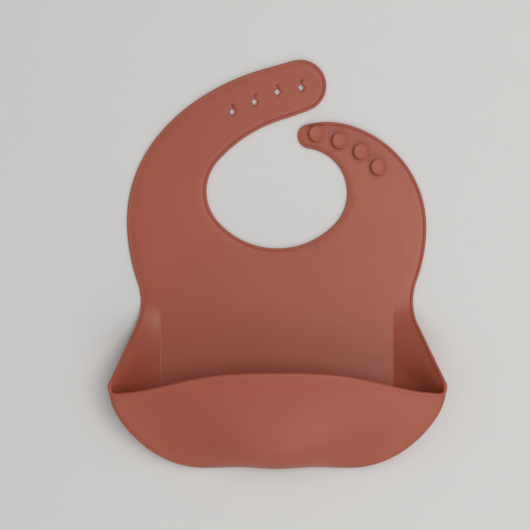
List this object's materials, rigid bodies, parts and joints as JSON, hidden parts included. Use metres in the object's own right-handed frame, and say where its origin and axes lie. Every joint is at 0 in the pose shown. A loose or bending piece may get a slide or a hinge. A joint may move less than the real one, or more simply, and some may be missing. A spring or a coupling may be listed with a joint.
{
  "type": "silicone bib",
  "caption": "Soft moulded baby bib with a wide scoop pocket, a round neck opening, a slotted strap and a buttoned strap.",
  "frame": {"origin": "middle of the resting face under the bib's outer box", "axes": "+Z out of the bib's front, +Y from the pocket to the neck straps, +X to the buttoned strap"},
  "size_m": [0.2428, 0.3019, 0.05],
  "materials": {
    "silicone": "matte"
  },
  "bodies": {
    "apron": {"back_panel": "silicone", "pocket_base": "silicone", "gusset_root_left": "silicone", "gusset_root_right": "silicone", "gusset_root_bead_left": "silicone", "gusset_root_bead_right": "silicone", "base_corner_left": "silicone", "base_corner_right": "silicone"},
    "yoke": {"yoke": "silicone"},
    "front": {"pocket_front": "silicone", "pocket_lip": "silicone"},
    "left_side": {"gusset_left": "silicone", "gusset_bead_left": "silicone", "pocket_corner_left": "silicone", "corner_bead_left": "silicone", "front_end_left": "silicone", "lip_end_left": "silicone"},
    "right_side": {"gusset_right": "silicone", "gusset_bead_right": "silicone", "pocket_corner_right": "silicone", "corner_bead_right": "silicone", "front_end_right": "silicone", "lip_end_right": "silicone"},
    "slot_link_1": {"slot_strap_1": "silicone"},
    "slot_link_2": {"slot_strap_2": "silicone"},
    "slot_link_3": {"slot_strap_3": "silicone"},
    "slot_link_4": {"slot_strap_4": "silicone"},
    "slot_link_5": {"slot_strap_5": "silicone"},
    "slot_link_6": {"slot_strap_6": "silicone"},
    "button_link_1": {"button_strap_1": "silicone", "button_1": "silicone"},
    "button_link_2": {"button_strap_2": "silicone", "button_2": "silicone"},
    "button_link_3": {"button_strap_3": "silicone", "button_3": "silicone"},
    "button_link_4": {"button_strap_4": "silicone", "button_4": "silicone"}
  },
  "joints": [
    {"name": "bib_fold", "type": "hinge", "parent": "apron", "child": "yoke", "pos_m": [0, -0.012, 0.0024], "axis": [1, 0, 0], "range_deg": [0, 80], "stiffness_Nm_per_rad": 0.02},
    {"name": "slot_strap_bend_1", "type": "hinge", "parent": "yoke", "child": "slot_link_1", "pos_m": [-0.06578, 0.07744, 0.0024], "axis": [0.9397, -0.342, 0], "range_deg": [0, 16], "stiffness_Nm_per_rad": 0.0014},
    {"name": "slot_strap_bend_2", "type": "hinge", "parent": "slot_link_1", "child": "slot_link_2", "pos_m": [-0.0559, 0.09563, 0.0024], "axis": [0.7986, -0.6018, 0], "range_deg": [0, 16], "stiffness_Nm_per_rad": 0.0014},
    {"name": "slot_strap_bend_3", "type": "hinge", "parent": "slot_link_2", "child": "slot_link_3", "pos_m": [-0.04213, 0.1094, 0.0024], "axis": [0.6018, -0.7986, 0], "range_deg": [0, 16], "stiffness_Nm_per_rad": 0.0014},
    {"name": "slot_strap_bend_4", "type": "hinge", "parent": "slot_link_3", "child": "slot_link_4", "pos_m": [-0.02588, 0.11854, 0.0024], "axis": [0.3697, -0.9291, 0], "range_deg": [0, 16], "stiffness_Nm_per_rad": 0.0014},
    {"name": "slot_strap_bend_5", "type": "hinge", "parent": "slot_link_4", "child": "slot_link_5", "pos_m": [-0.00853, 0.12298, 0.0024], "axis": [0.1219, -0.9925, 0], "range_deg": [0, 16], "stiffness_Nm_per_rad": 0.0014},
    {"name": "slot_strap_bend_6", "type": "hinge", "parent": "slot_link_5", "child": "slot_link_6", "pos_m": [0.00805, 0.12304, 0.0024], "axis": [-0.1149, -0.9934, 0], "range_deg": [0, 16], "stiffness_Nm_per_rad": 0.0014},
    {"name": "button_strap_bend_1", "type": "hinge", "parent": "yoke", "child": "button_link_1", "pos_m": [0.05479, 0.05829, 0.0024], "axis": [0.9962, 0.0872, 0], "range_deg": [0, 16], "stiffness_Nm_per_rad": 0.0014},
    {"name": "button_strap_bend_2", "type": "hinge", "parent": "button_link_1", "child": "button_link_2", "pos_m": [0.052, 0.07141, 0.0024], "axis": [0.9455, 0.3256, 0], "range_deg": [0, 16], "stiffness_Nm_per_rad": 0.0014},
    {"name": "button_strap_bend_3", "type": "hinge", "parent": "button_link_2", "child": "button_link_3", "pos_m": [0.04684, 0.08232, 0.0024], "axis": [0.8517, 0.524, 0], "range_deg": [0, 16], "stiffness_Nm_per_rad": 0.0014},
    {"name": "button_strap_bend_4", "type": "hinge", "parent": "button_link_3", "child": "button_link_4", "pos_m": [0.03751, 0.09372, 0.0024], "axis": [0.682, 0.7314, 0], "range_deg": [0, 16], "stiffness_Nm_per_rad": 0.0014},
    {"name": "pocket_press", "type": "hinge", "parent": "apron", "child": "front", "pos_m": [0, -0.1498, 0.013], "axis": [-1, 0, 0], "range_deg": [0, 16], "stiffness_Nm_per_rad": 0.06, "springref_deg": -14.32},
    {"name": "left_side_press", "type": "hinge", "parent": "apron", "child": "left_side", "pos_m": [-0.0865, -0.085, 0.0008], "axis": [0, -1, 0], "range_deg": [0, 12], "stiffness_Nm_per_rad": 0.03, "springref_deg": -14.32},
    {"name": "right_side_press", "type": "hinge", "parent": "apron", "child": "right_side", "pos_m": [0.0865, -0.085, 0.0008], "axis": [0, 1, 0], "range_deg": [0, 12], "stiffness_Nm_per_rad": 0.03, "springref_deg": -14.32}
  ],
  "couplings": [
    {"joint": "slot_strap_bend_2", "follows": "slot_strap_bend_1", "ratio": 1},
    {"joint": "slot_strap_bend_3", "follows": "slot_strap_bend_1", "ratio": 1},
    {"joint": "slot_strap_bend_4", "follows": "slot_strap_bend_1", "ratio": 1},
    {"joint": "slot_strap_bend_5", "follows": "slot_strap_bend_1", "ratio": 1},
    {"joint": "slot_strap_bend_6", "follows": "slot_strap_bend_1", "ratio": 1},
    {"joint": "button_strap_bend_2", "follows": "button_strap_bend_1", "ratio": 1},
    {"joint": "button_strap_bend_3", "follows": "button_strap_bend_1", "ratio": 1},
    {"joint": "button_strap_bend_4", "follows": "button_strap_bend_1", "ratio": 1},
    {"joint": "left_side_press", "follows": "pocket_press", "ratio": 0.75},
    {"joint": "right_side_press", "follows": "pocket_press", "ratio": 0.75}
  ]
}
